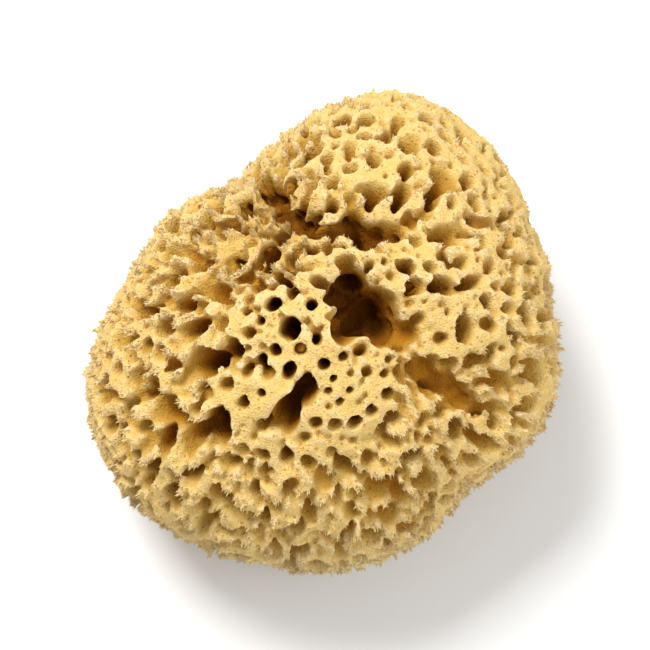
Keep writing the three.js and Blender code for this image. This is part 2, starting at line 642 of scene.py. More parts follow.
# The pits on the crescent lobe, round and shallow between thick walls.
CREST_PITS = (
    Pit(42, 54, 2.4, 18, 1.5, 75),
    Pit(37, 43, 3.4, 14, 1.3, 150, 0.6),
    Pit(52, 59, 2.4, 14, 1.4, 170, 0.18),
    Pit(94, 56, 1.9, 9, 1, 0, 0.18),
    Pit(79, 60, 1.8, 9, 1.1, 0, 0.18),
    Pit(75, 48, 1.8, 7, 1, 0, 0.18),
    Pit(63, 51, 2.1, 10, 1.3, 100, 0.18),
    Pit(55, 42, 2.6, 10, 1.2, 160, 0.18),
    Pit(63, 41, 1.8, 8, 1.3, 70, 0.18),
    Pit(84, 52, 1.6, 8, 1.2, 90, 0.18),
    Pit(63, 64, 1.9, 5, 1, 0, 0.18),
    Pit(74, 68, 1.8, 8, 1, 0, 0.18),
    Pit(98, 66, 1.4, 8, 1.5, 90),
    Pit(27, 52, 1.9, 9, 1, 0, 0.18),
    Pit(27, 45, 1.7, 5, 1, 0, 0.18),
    Pit(61, 26, 1.9, 9, 1.3, 150, 0.18),
    Pit(68, 30, 1.6, 9, 1.4, 100, 0.18),
    Pit(75, 34, 1.7, 8, 1, 0, 0.18),
    Pit(15, 49, 3, 13, 1.5, 20, 0.5),
    Pit(15, 57, 1.4, 8, 1.3, 90),
    Pit(11, 40, 1.9, 6, 1.1, 0, 0.18),
    Pit(21, 28, 2.1, 9, 1.2, 30, 0.5),
)

# The pits on the bridge between the furrow and the cavity, and down the east side.
BRIDGE_PITS = (
    Pit(-2, 62, 2.3, 15, 1.2, 5),
    Pit(-1, 55, 1.9, 13),
    Pit(3, 46, 2, 10, 1, 0, 0.1),
    Pit(-14, 59, 2.4, 15, 1.1, 10),
    Pit(-9, 51, 2.7, 15, 1.5, 0, 0.1),
    Pit(-4, 43, 1.9, 11, 1.7, 15),
    Pit(-28, 54, 1.6, 7),
    Pit(-22, 42, 2.9, 15, 1.4, 110, 0.18),
    Pit(-17, 28, 2.4, 10, 1, 0, 0.18),
    Pit(-25, 33, 1.8, 11, 1.9, 100, 0.18),
    Pit(-7, 20, 2.5, 9, 1.4, 0, 0.5),
    Pit(-40, 34, 2, 12, 2.2, -25, 0.18),
    Pit(-7, 80, 2.6, 11, 1.1, 0, 0.18),
    Pit(20, 74, 2.1, 8, 1.2, 40, 0.18),
    Pit(14, 69, 1.8, 5, 1, 0, 0.18),
    Pit(-5, 73, 1.4, 6),
)

# The pits in the hollow between the lobes, where the walls stand up ragged.
HOLLOW_PITS = (
    Pit(167, 74, 2.8, 15, 1.8, 75, 0.3),
    Pit(146, 62, 2, 11),
    Pit(-150, 80, 2.4, 13, 1.3, 30, 0.3),
    Pit(100, 86, 1.8, 12, 1.2),
    Pit(170, 64, 2.2, 11, 1.4, 90, 0.3),
    Pit(132, 72, 2, 12, 1.5, 20, 0.3),
)


@dataclass
class Canals:
    """A list of canals, held as arrays with one row for each."""

    mouths: np.ndarray
    axes: np.ndarray
    radii: np.ndarray
    depths: np.ndarray
    flares: np.ndarray
    stretches: np.ndarray
    headings: np.ndarray

    @staticmethod
    def together(lists: Iterable["Canals"]) -> "Canals":
        """Puts several lists into one."""
        rows = list(lists)
        names = [column.name for column in fields(Canals)]
        return Canals(*(np.concatenate([getattr(row, name) for row in rows]) for name in names))

    def only(self, rows: Sequence[int]) -> "Canals":
        """Gives some of the canals, by their row numbers."""
        return Canals(*(getattr(self, column.name)[rows] for column in fields(Canals)))

    def reaches(self) -> np.ndarray:
        """Gives how far each mouth reaches from its middle, between its long way and its short way."""
        return self.radii * (0.4 + 0.6 * self.stretches)


@dataclass(frozen=True)
class Spread:
    """A round of canals that are opened at chance places.

    tries is how many places are tried, walls is the least wall between two canals, and depth is the
    depth of a canal as a multiple of its radius.
    """

    name: str
    tries: int
    radii: tuple[float, float]
    walls: PerRegion
    depth: float


@dataclass
class CanalPattern:
    """Settles where every canal opens, how wide it is and which way it runs.

    For the canals at chance places, widths scales the radii of their round, and flares and stretches
    say how far their mouths widen and lengthen. strays is how far, in radians, the long way of a mouth
    turns from downhill, and droop is how far a canal on the flanks hangs down.
    """

    dome: Dome
    seed: int = 7
    pits: tuple[Pit, ...] = PLATE_PITS + SHOULDER_PITS + CREST_PITS + BRIDGE_PITS + HOLLOW_PITS
    spreads: tuple[Spread, ...] = (
        Spread("large", 420, (2.6 * MM, 3.6 * MM), (20 * MM, 1.8 * MM, 1.2 * MM, 0.8 * MM), 3.4),
        Spread("main", 14000, (1.8 * MM, 2.7 * MM), (1.6 * MM, 1.1 * MM, 0.5 * MM, 0.6 * MM), 3.2),
        Spread("small", 14000, (0.7 * MM, 1.4 * MM), (1.0 * MM, 0.85 * MM, 0.5 * MM, 0.6 * MM), 3.8),
    )
    widths: PerRegion = (0.72, 0.98, 0.84, 1.1)
    flares: PerRegion = (0.05, 0.15, 0.30, 0.25)
    stretches: PerRegion = (0.2, 0.3, 0.8, 1.0)
    strays: PerRegion = (1.5, 1.2, 0.4, 0.4)
    droop: float = 0.22
    lowest: float = 2 * MM

    def __post_init__(self) -> None:
        """Seeds the chances."""
        self.chance = np.random.default_rng(self.seed)

    def regions(self, towards: np.ndarray) -> dict[Region, np.ndarray]:
        """Says how much each direction belongs to each kind of skin.

        Args:
            towards: Unit vectors, one a row.

        Returns:
            A share from 0 to 1 for each region, adding up to 1.
        """
        hollow = HOLLOW_PATCH.share(towards)
        felted = np.maximum(PLATE_PATCH.share(towards), 0.8 * BRIDGE_FELT.share(towards))
        plate = felted * (1 - hollow)
        thick = np.maximum(CREST_PATCH.share(towards), BRIDGE_PATCH.share(towards))
        crest = thick * (1 - plate) * (1 - hollow)
        return {
            Region.PLATE: plate,
            Region.CREST: crest,
            Region.FLANK: 1 - plate - crest - hollow,
            Region.HOLLOW: hollow,
        }

    def blend(self, towards: np.ndarray, values: PerRegion) -> np.ndarray:
        """Mixes the regions' values, by how much of each region is there."""
        share = self.regions(towards)
        return sum(value * share[region] for value, region in zip(values, Region))

    def furrow_canals(self) -> Canals:
        """Gives the canals whose row makes each furrow."""
        rows = []
        for furrow in self.dome.furrows:
            towards = furrow.directions()
            towards = towards[self.chance.uniform(size=len(towards)) >= furrow.gaps]
            count = len(towards)
            stray = self.chance.normal(0.0, furrow.wander, (count, 3))
            towards = towards * self.dome.reach(towards)[:, None] + stray
            towards /= np.linalg.norm(towards, axis=1, keepdims=True)
            rows.append(
                Canals(
                    mouths=self.dome.on_skin(towards),
                    axes=towards,
                    radii=furrow.radius * self.chance.uniform(0.75, 1.15, count),
                    depths=furrow.depth * self.chance.uniform(0.75, 1.1, count),
                    flares=np.full(count, 0.05),
                    stretches=self.chance.uniform(1.0, 1.3, count),
                    headings=self.chance.uniform(0, math.pi, count),
                )
            )
        return Canals.together(rows)

    def pit_canals(self) -> Canals:
        """Gives the canals that have places of their own."""
        towards = np.array([direction(pit.around, pit.up) for pit in self.pits])
        return Canals(
            mouths=self.dome.on_skin(towards),
            axes=towards,
            radii=np.array([pit.radius * MM for pit in self.pits]),
            depths=np.array([pit.depth * MM for pit in self.pits]),
            flares=np.array([pit.flare for pit in self.pits]),
            stretches=np.array([pit.stretch for pit in self.pits]),
            headings=np.radians([pit.heading for pit in self.pits]),
        )

    def windows(self) -> Canals:
        """Gives the canals that open in the walls of the furrows, from side to side."""
        rows = []
        for furrow in self.dome.furrows:
            count = furrow.windows
            steps = furrow.directions()
            towards = steps[self.chance.integers(len(steps), size=count)]
            down = furrow.depth * self.chance.uniform(0.15, 0.8, count)
            sideways = np.cross(towards, self.chance.normal(size=(count, 3)))
            sideways /= np.linalg.norm(sideways, axis=1, keepdims=True)
            middles = self.dome.on_skin(towards) - towards * down[:, None]
            rows.append(
                Canals(
                    mouths=middles + sideways * 0.9 * furrow.radius,
                    axes=-sideways,
                    radii=self.chance.uniform(0.9 * MM, 1.9 * MM, count),
                    depths=self.chance.uniform(6 * MM, 12 * MM, count),
                    flares=np.zeros(count),
                    stretches=self.chance.uniform(1.0, 1.4, count),
                    headings=self.chance.uniform(0, math.pi, count),
                )
            )
        return Canals.together(rows)

    def drawn(self, spread: Spread, towards: np.ndarray) -> Canals:
        """Draws a canal of one round for each direction, whether or not it has room there.

        Args:
            spread: The round.
            towards: Unit vectors, one a row.

        Returns:
            The canals.
        """
        tries = len(towards)
        radii = self.chance.uniform(*spread.radii, tries) * self.blend(towards, self.widths)
        axes = 0.5 * towards + 0.5 * self.dome.outwards(towards)
        axes[:, 2] -= self.droop * self.regions(towards)[Region.FLANK]
        axes += self.chance.normal(0.0, 0.12, (tries, 3))
        axes /= np.linalg.norm(axes, axis=1, keepdims=True)
        downhill = np.arctan2(towards[:, 1], towards[:, 0])
        return Canals(
            mouths=self.dome.on_skin(towards),
            axes=axes,
            radii=radii,
            depths=spread.depth * radii * self.chance.uniform(0.7, 1.3, tries),
            flares=self.blend(towards, self.flares) * self.chance.uniform(0.6, 1.4, tries),
            stretches=1 + self.chance.uniform(0.1, 1.0, tries) * self.blend(towards, self.stretches),
            headings=downhill + self.chance.normal(0, 1, tries) * self.blend(towards, self.strays),
        )

    def scatter(self, taken: Canals, spread: Spread) -> Canals:
        """Opens one round of canals, each clear of those already there.

        Args:
            taken: The canals already there.
            spread: The round.

        Returns:
            The canals that found room.
        """
        towards = self.chance.normal(size=(spread.tries, 3))
        towards /= np.linalg.norm(towards, axis=1, keepdims=True)
        tried = self.drawn(spread, towards)
        walls = self.blend(towards, spread.walls)
        places = np.concatenate([taken.mouths, tried.mouths])
        reaches = tried.reaches()
        room = np.concatenate([taken.reaches(), reaches])
        count = len(taken.radii)
        found = []
        for i, mouth in enumerate(tried.mouths):
            if mouth[2] < self.lowest:
                continue
            gap = np.linalg.norm(places[:count] - mouth, axis=1) - room[:count] - reaches[i]
            if gap.min() > walls[i]:
                places[count], room[count] = mouth, reaches[i]
                count += 1
                found.append(i)
        return tried.only(found)

    def base_canals(self, count: int = 110, within: float = 0.36, jitter: float = 2.2 * MM) -> Canals:
        """Gives the canals that the cut laid open on the base.

        Args:
            count: How many there are.
            within: How far from the middle they reach, as a share of the sponge's width.
            jitter: How far each strays from an even spread.

        Returns:
            The canals, which run up from the base.
        """
        low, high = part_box("sponge")
        k = np.arange(count)
        spread = np.sqrt((k + 0.5) / count)
        turn = k * math.pi * (3 - math.sqrt(5))  # the golden angle, which never falls in rows
        mouths = np.zeros((count, 3))
        mouths[:, 0] = within * (high[0] - low[0]) * spread * np.cos(turn)
        mouths[:, 1] = within * (high[1] - low[1]) * spread * np.sin(turn)
        mouths[:, :2] += self.chance.normal(0, jitter, (count, 2))
        axes = np.tile([0.0, 0.0, -1.0], (count, 1)) + self.chance.normal(0, 0.15, (count, 3))
        axes /= np.linalg.norm(axes, axis=1, keepdims=True)
        return Canals(
            mouths=mouths,
            axes=axes,
            radii=self.chance.uniform(0.8 * MM, 2.8 * MM, count),
            depths=self.chance.uniform(8 * MM, 14 * MM, count),
            flares=np.full(count, 0.1),
            stretches=self.chance.uniform(1.0, 1.6, count),
            headings=self.chance.uniform(0, math.pi, count),
        )

    def settle(self) -> Canals:
        """Lays out every canal, from the widest to the smallest.

        Returns:
            All the canals.
        """
        canals = Canals.together([self.furrow_canals(), self.pit_canals()])
        for spread in self.spreads:
            found = self.scatter(canals, spread)
            LOG.info("%s canals: %d", spread.name, len(found.radii))
            canals = Canals.together([canals, found])
        return Canals.together([canals, self.windows(), self.base_canals()])


# ---------------------------------------------------------------------------------------------
# The canals, modelled once and copied
# ---------------------------------------------------------------------------------------------


@dataclass
class CanalPlug:
    """The space inside a canal: one plug, modelled twice over on the same rings, narrow and flared.

    closing is how far the frayed skin closes in on a canal, which is cut that much wider. lobing is how
    far a plug's sides stray from round, and bending how far its foot strays from straight.
    Each ring is (height, narrow radius, flared radius). A height below 0 is a share of the canal's
    depth, and one above 0 is counted in radii, outside the skin.
    """

    sides: int = 12
    closing: float = 0.25 * MM
    lobing: float = 0.06
    bending: float = 0.16
    rings: tuple[tuple[float, float, float], ...] = (
        (-1.00, 0.30, 0.15),
        (-0.90, 0.60, 0.35),
        (-0.62, 0.84, 0.62),
        (-0.36, 0.95, 0.95),
        (-0.15, 1.00, 1.25),
        (0.00, 1.02, 1.50),
        (0.60, 1.08, 1.90),
        (2.20, 1.20, 3.00),
    )

    def model(self, flared: bool) -> bpy.types.Object:
        """Models one plug, ring by ring.

        Args:
            flared: Whether its mouth opens wide.

        Returns:
            The plug, closed, one unit in radius and with its mouth's middle at the origin.
        """
        rings = [(height, wide if flared else narrow) for height, narrow, wide in self.rings]
        steps = [(b[0] - a[0], b[1] / a[1]) for a, b in zip(rings[:-1], rings[1:])]
        foot, radius = rings[0]
        return ring_stack(self.sides, radius, foot, steps)

    def copies(self, canals: Canals, seed: int = 11) -> bpy.types.Object:
        """Copies the plug into every canal.

        Args:
            canals: Where the canals open, and their sizes.
            seed: Settles how each copy's rings wander.

        Returns:
            All the copies as one object.
        """
        low, faces = taken_apart(self.model(flared=False))
        high, _ = taken_apart(self.model(flared=True))
        count, corners = len(canals.radii), len(low)
        flare = canals.flares[:, None, None]
        shape = low[None] * (1 - flare) + high[None] * flare
        spin = np.arctan2(low[:, 1], low[:, 0])
        turns = np.array([wave(k * spin) for wave in (np.cos, np.sin) for k in (2, 3, 5)])
        chances = np.random.default_rng(seed).normal(size=(count, corners + len(turns) + 2))
        jitter, waves, bend = np.split(chances, [corners, corners + len(turns)], axis=1)
        ragged = np.minimum(0.15 + 2.5 * canals.flares, 1.0)  # a crisp mouth is the roundest
        lobed = self.lobing * (waves @ turns + jitter) * ragged[:, None]
        shape[:, :, :2] *= (1 + lobed)[:, :, None]
        shape[:, :, 0] *= canals.stretches[:, None]
        shape[:, :, :2] *= (canals.radii + self.closing)[:, None, None]
        down = np.minimum(shape[:, :, 2], 0) * canals.depths[:, None]
        up = np.maximum(shape[:, :, 2], 0) * canals.radii[:, None]
        bent = (down**2 / canals.depths[:, None])[:, :, None]
        shape[:, :, :2] += self.bending * bend[:, None, :] * bent
        shape[:, :, 2] = down + up
        frames = frames_along(canals.axes, canals.headings)
        return joined_copies("plugs", stood_up(shape, frames, canals.mouths), faces)


# ---------------------------------------------------------------------------------------------
# The tufts that stand up between the canals
# ---------------------------------------------------------------------------------------------


@dataclass(frozen=True)
class TuftKind:
    """A kind of tuft.

    Each stands between sunk below the skin and proud above it, at least spare clear of any canal.
    thick is its radius half way, and shares are how likely it is in each region.
    """

    count: int
    sunk: tuple[float, float]
    proud: tuple[float, float]
    thick: tuple[float, float]
    shares: PerRegion
    lean: float
    spare: float


@dataclass
class Tufts:
    """Ragged blades of spongin, modelled once and copied, and none so near the base as lowest."""

    dome: Dome
    pattern: CanalPattern
    kinds: tuple[TuftKind, ...] = (
        TuftKind(
            count=60,
            sunk=(7 * MM, 10 * MM),
            proud=(0.5 * MM, 4.5 * MM),
            thick=(1.0 * MM, 2.0 * MM),
            shares=(0, 0, 0, 1),
            lean=0.30,
            spare=0.3 * MM,
        ),
        TuftKind(
            count=1500,
            sunk=(3 * MM, 4 * MM),
            proud=(0.4 * MM, 2.0 * MM),
            thick=(0.6 * MM, 1.0 * MM),
            shares=(0, 0.15, 1, 0.5),
            lean=0.25,
            spare=0.4 * MM,
        ),
    )
    lowest: float = 0.5 * MM
    seed: int = 5

    @staticmethod
    def model() -> bpy.types.Object:
        """Models one tuft: a flat blade that narrows to a blunt tip, from 0 to 1 in height."""
        tuft = ring_stack(6, 1.3, 0.0, ((0.5, 0.77), (0.32, 0.62), (0.18, 0.30)))
        bpy.ops.object.mode_set(mode="EDIT")
        bpy.ops.transform.resize(value=(1.0, 0.55, 1.0))
        bpy.ops.object.mode_set(mode="OBJECT")
        return tuft

    def build(self, canals: Canals) -> bpy.types.Object:
        """Copies the tuft over the sponge.

        Args:
            canals: The canals, which no tuft stands in.

        Returns:
            All the tufts as one object, each closed.
        """
        chance = np.random.default_rng(self.seed)
        shape, faces = taken_apart(self.model())
        rows = []
        for kind in self.kinds:
            towards = self.places(kind, canals, chance)
            count = len(towards)
            axes = towards + chance.normal(0, kind.lean, (count, 3))
            axes /= np.linalg.norm(axes, axis=1, keepdims=True)
            sunk, proud = chance.uniform(*kind.sunk, count), chance.uniform(*kind.proud, count)
            copies = np.repeat(shape[None], count, axis=0)
            copies[:, :, :2] *= chance.uniform(*kind.thick, count)[:, None, None]
            copies *= 1 + chance.normal(0, 0.12, (count, len(shape), 1))
            copies[:, :, 2] = copies[:, :, 2] * (sunk + proud)[:, None] - sunk[:, None]
            frames = frames_along(axes, chance.uniform(0, math.tau, count))
            placed = stood_up(copies, frames, self.dome.on_skin(towards))
            rows.append(placed[placed[:, :, 2].min(axis=1) > self.lowest])
        return joined_copies("tufts", np.concatenate(rows), faces)

    def places(self, kind: TuftKind, canals: Canals, chance: np.random.Generator) -> np.ndarray:
        """Picks the directions of the tufts of one kind, by chance, on the walls between the canals."""
        towards = chance.normal(size=(60 * kind.count, 3))
        towards /= np.linalg.norm(towards, axis=1, keepdims=True)
        share = self.pattern.blend(towards, kind.shares)
        towards = towards[chance.uniform(size=len(share)) < share][: 12 * kind.count]
        tree = KDTree(len(canals.mouths))
        for number, mouth in enumerate(canals.mouths):
            tree.insert(mouth, number)
        tree.balance()
        room = canals.reaches()
        spare = [
            min(away - room[number] for _, number, away in tree.find_n(point, 5))
            for point in self.dome.on_skin(towards)
        ]
        return towards[np.array(spare) > kind.spare][: kind.count]


# ---------------------------------------------------------------------------------------------
# The body
# ---------------------------------------------------------------------------------------------


@dataclass
class SpongeBody:
    """The body of the sponge, with every canal cut into it.

    grain is how fine the mesh is before it is thinned. The skin is frayed by swells of fray_size and
    fray_height, as much as frayed says in each region, and less and less between the two depths of
    frayed_to. cut_tone is the depth whose colour the cut base has. The hollow is coloured as if it
    lay deeper by shelter, and so are the furrows where their valley is as deep as sheltered_valley:
    this extra depth darkens them with painted shade.
    """

    dome: Dome
    pattern: CanalPattern
    tufts: Tufts
    plug: CanalPlug = field(default_factory=CanalPlug)
    grain: float = 0.6 * MM
    frayed_to: tuple[float, float] = (1.0 * MM, 6.0 * MM)
    fray_size: float = 1.6 * MM
    fray_height: float = 0.9 * MM
    frayed: PerRegion = (0.5, 0.8, 1, 1)
    cut_tone: float = 2.2 * MM
    shelter: float = 1.6 * MM
    sheltered_valley: float = 5 * MM
    most_triangles: int = 195_000

    def build(self) -> bpy.types.Object:
        """Cuts the canals into the dome, roughens the skin and thins the mesh.

        Returns:
            The body.
        """
        body = self.dome.build()
        canals = self.pattern.settle()
        plugs = self.plug.copies(canals)
        finish_with(plugs, "REMESH", mode="VOXEL", voxel_size=self.grain)
        finish_with(body, "BOOLEAN", operation="DIFFERENCE", solver="MANIFOLD", object=plugs)
        discard(plugs)
        tufts = self.tufts.build(canals)
        pick(body)
        tufts.select_set(True)
        bpy.ops.object.join()
        finish_with(body, "REMESH", mode="VOXEL", voxel_size=self.grain)
        body.name = body.data.name = "sponge_body"
        self.drop_crumbs(body)
        self.roughen(body)
        LOG.info("before thinning: %d faces", len(body.data.polygons))
        self.thin(body)
        self.flatten_base(body)
        self.mark(body)
        return body

    @staticmethod
    def flatten_base(body: bpy.types.Object) -> None:
        """Brings back up what the roughening pushed below the cut base."""
        points = points_of(body.data)
        points[:, 2] = np.maximum(points[:, 2], 0.0)
        move_points(body.data, points)

    def roughen(self, body: bpy.types.Object) -> None:
        """Frays the skin and the canals' rims, and leaves their walls smooth."""
        points = points_of(body.data)
        towards, depth = self.dome.seen_from_heart(points)
        shares = 1 - smooth_step(*self.frayed_to, depth)
        shares *= self.pattern.blend(towards, self.frayed)
        near = body.vertex_groups.new(name="near_skin")
        for level in range(1, 5):
            rows = np.flatnonzero(np.round(shares * 4) == level)
            near.add(rows.tolist(), level / 4, "REPLACE")
        Dome.undulate(body, self.fray_size, self.fray_height, near.name)

    def mark(self, body: bpy.types.Object) -> None:
        """Keeps on the mesh how deep each vertex lies, in millimetres, and how it stands out.

        Args:
            body: The body, thinned.
        """
        mesh = body.data
        points, normals, edges = points_of(mesh), normals_of(mesh), edges_of(mesh)
        towards, depth = self.dome.seen_from_heart(points)
        depth = np.minimum(depth, points[:, 2] + self.cut_tone)
        # The hollow and the furrows' valleys are counted deeper than they lie, so that the material
        # paints shade into them.
        shaded_share = self.dome.valleys(towards) / self.sheltered_valley
        shaded_share = self.pattern.regions(towards)[Region.HOLLOW] + shaded_share
        store(mesh, "depth", np.clip(depth / MM, 0, None) + self.shelter / MM * shaded_share)
        step = points[edges[:, 1]] - points[edges[:, 0]]
        step /= np.maximum(np.linalg.norm(step, axis=1, keepdims=True), 1e-9)
        ends = np.concatenate([edges[:, 0], edges[:, 1]])
        others = np.concatenate([edges[:, 1], edges[:, 0]])
        fall = np.concatenate(
            [-(step * normals[edges[:, 0]]).sum(axis=1), (step * normals[edges[:, 1]]).sum(axis=1)]
        )
        shares = np.maximum(np.bincount(ends, minlength=len(points)), 1)
        crest = np.bincount(ends, fall, len(points)) / shares
        for _ in range(2):  # evens it out a little
            crest = 0.5 * crest + 0.5 * np.bincount(ends, crest[others], len(points)) / shares
        store(mesh, "crest", crest)

    @staticmethod
    def drop_crumbs(body: bpy.types.Object) -> None:
        """Deletes the loose crumbs that the canals cut off, keeping the largest part."""
        pick(body)
        bpy.ops.object.mode_set(mode="EDIT")
        bpy.ops.mesh.separate(type="LOOSE")
        bpy.ops.object.mode_set(mode="OBJECT")
        parts = sorted(bpy.context.selected_objects, key=lambda part: -len(part.data.polygons))
        for crumb in parts[1:]:
            discard(crumb)
        if parts[0] != body:
            raise RuntimeError("the body lost its place")
        pick(body)

    def thin(self, body: bpy.types.Object) -> None:
        """Thins the mesh to its limit."""
        triangles = 2 * len(body.data.polygons)
        finish_with(
            body,
            "DECIMATE",
            ratio=self.most_triangles / triangles,
            use_collapse_triangulate=True,
        )


# ---------------------------------------------------------------------------------------------
# The conules and fibres that fringe the skin
# ---------------------------------------------------------------------------------------------


@dataclass(frozen=True)
class Hair:
    """One kind of small point that stands on the skin.

    lengths and thicknesses are the least and the greatest, and flatness is its width next to its
    breadth. lean is how far it strays from upright, shares are how likely it is in each region, and
    crest_from is how sharp a ridge must be to bear it.
    """

    name: str
    count: int
    sides: int
    lengths: tuple[float, float]
    thicknesses: tuple[float, float]
    flatness: float
    lean: float
    shares: PerRegion
    crest_from: float


@dataclass
class Fringe:
    """The points of spongin that stand along the ridges between the canals.

    They thin out between the two depths of shallow, in millimetres. They thicken between the two
    numbers of facing, as the skin faces away from the heart, of clear_of_base, as it rises over the
    base, and over ridge_span, as a ridge gets sharper. rooted is the length of a point below the skin
    next to that above it, and none reaches below lowest.
    """

    body: bpy.types.Object
    dome: Dome
    pattern: CanalPattern
    kinds: tuple[Hair, ...] = (
        Hair(
            name="conules",
            count=13000,
            sides=4,
            lengths=(0.4 * MM, 1.6 * MM),
            thicknesses=(0.20 * MM, 0.42 * MM),
            flatness=0.8,
            lean=0.35,
            shares=(0.1, 0.5, 1, 1),
            crest_from=0.12,
        ),
        Hair(
            name="fibres",
            count=26000,
            sides=3,
            lengths=(0.4 * MM, 1.0 * MM),
            thicknesses=(0.07 * MM, 0.12 * MM),
            flatness=1.0,
            lean=0.6,
            shares=(0.3, 0.8, 1, 1),
            crest_from=0.0,
        ),
    )
    shallow: tuple[float, float] = (1.5, 5.0)
    facing: tuple[float, float] = (0.25, 0.6)
    clear_of_base: tuple[float, float] = (1.5 * MM, 4 * MM)
    ridge_span: float = 0.25
    rooted: float = 0.35
    lowest: float = 0.2 * MM
    seed: int = 23

    def roots(self, kind: Hair, chance: np.random.Generator) -> tuple[np.ndarray, np.ndarray]:
        """Picks where the points of one kind stand, by chance, on the ridges near the skin.

        Args:
            kind: The kind of point.
            chance: Where the chances come from.

        Returns:
            The roots and the skin's normals there, one a row.
        """
        mesh = self.body.data
        corners = np.empty(3 * len(mesh.polygons), dtype=np.int32)
        mesh.polygons.foreach_get("vertices", corners)
        corners = corners.reshape(-1, 3)
        points, normals = points_of(mesh), normals_of(mesh)
        a, b, c = (points[corners[:, k]] for k in range(3))
        area = np.linalg.norm(np.cross(b - a, c - a), axis=1) / 2
        depth = kept(mesh, "depth")[corners].mean(axis=1)
        crest = kept(mesh, "crest")[corners].mean(axis=1)
        middle = (a + b + c) / 3
        towards, _ = self.dome.seen_from_heart(middle)
        outward = (normals[corners].mean(axis=1) * towards).sum(axis=1)
        share = area * (1 - smooth_step(*self.shallow, depth)) * smooth_step(*self.facing, outward)
        share *= smooth_step(kind.crest_from, kind.crest_from + self.ridge_span, crest)
        share *= self.pattern.blend(towards, kind.shares)
        share *= smooth_step(*self.clear_of_base, middle[:, 2])
        chosen = chance.choice(len(area), kind.count, p=share / share.sum())
        u, v = np.sqrt(chance.uniform(size=kind.count)), chance.uniform(size=kind.count)
        weights = np.stack([1 - u, u * (1 - v), u * v], axis=1)[:, :, None]
        feet = (points[corners[chosen]] * weights).sum(axis=1)
        upright = (normals[corners[chosen]] * weights).sum(axis=1)
        return feet, upright / np.linalg.norm(upright, axis=1, keepdims=True)

    def grow(self, kind: Hair) -> bpy.types.Object:
        """Models one kind of point and copies it all over the ridges.

        Args:
            kind: The kind of point.

        Returns:
            All the copies as one object.
        """
        chance = np.random.default_rng([self.seed, kind.count])
        shape, faces = taken_apart(ring_stack(kind.sides, 1.0, 0.0, ((1.0, 0.0),)))
        feet, upright = self.roots(kind, chance)
        towards, _ = self.dome.seen_from_heart(feet)
        axes = 0.35 * upright + 0.65 * towards + chance.normal(0, kind.lean / 2, (kind.count, 3))
        axes /= np.linalg.norm(axes, axis=1, keepdims=True)
        length = chance.uniform(*kind.lengths, kind.count)
        thick = chance.uniform(*kind.thicknesses, kind.count)
        copies = np.repeat(shape[None], kind.count, axis=0)
        copies[:, :, :2] *= thick[:, None, None] * np.array([1.0, kind.flatness])
        along = shape[None, :, 2] * (1 + self.rooted) - self.rooted
        copies[:, :, 2] = along * length[:, None]
        frames = frames_along(axes, chance.uniform(0, math.tau, kind.count))
        placed = stood_up(copies, frames, feet)
        placed[:, :, 2] = np.maximum(placed[:, :, 2], self.lowest)
        # Merging leaves the faces in no fixed order, and sorting them makes every run the same.
        piece = joined_copies(f"sponge_{kind.name}", placed, sorted(faces))
        _, depth = self.dome.seen_from_heart(placed.reshape(-1, 3))
        store(piece.data, "depth", np.clip(depth / MM, 0, None))
        # Paler towards each point's tip, through its crest number: partly bleached fibre, partly a
        # painted highlight.
        store(piece.data, "crest", np.tile(0.1 + 0.15 * shape[:, 2], kind.count))
        return piece

    def build(self) -> list[bpy.types.Object]:
        """Grows every kind of point."""
        return [self.grow(kind) for kind in self.kinds]


# ---------------------------------------------------------------------------------------------
# Finishes
# ---------------------------------------------------------------------------------------------


class Value:
    """A number that varies over a surface. Arithmetic on it adds Math nodes."""

    def __init__(self, graph: "Graph", socket: bpy.types.NodeSocket) -> None:
        """Wraps a node's output.

        Args:
            graph: The graph that the node is in.
            socket: The output.
        """
        self.graph = graph
        self.socket = socket

    def _maths(self, operation: str, *terms: "Value | float") -> "Value":
        """Adds one Math node.

        Args:
            operation: The node's operation.
            *terms: Its inputs, in order.

        Returns:
            Its result.
        """
        node = self.graph.node("ShaderNodeMath", {"operation": operation}, dict(enumerate(terms)))
        return Value(self.graph, node.outputs[0])

    def __add__(self, other: "Value | float") -> "Value":
        """Adds."""
        return self._maths("ADD", self, other)

    __radd__ = __add__

    def __mul__(self, other: "Value | float") -> "Value":
        """Multiplies."""
        return self._maths("MULTIPLY", self, other)

    __rmul__ = __mul__

    def __sub__(self, other: "Value | float") -> "Value":
        """Takes away."""
        return self._maths("SUBTRACT", self, other)

    def __rsub__(self, other: "Value | float") -> "Value":
        """Is taken away from a number."""
        return self._maths("SUBTRACT", other, self)

    def __truediv__(self, other: "Value | float") -> "Value":
        """Divides."""
        return self._maths("DIVIDE", self, other)

    def between(self, low: float, high: float) -> "Value":
        """Rises smoothly from 0 at low to 1 at high."""
        node = self.graph.node(
            "ShaderNodeMapRange",
            {"interpolation_type": "SMOOTHSTEP"},
            {"Value": self, "From Min": low, "From Max": high},
        )
        return Value(self.graph, node.outputs["Result"])


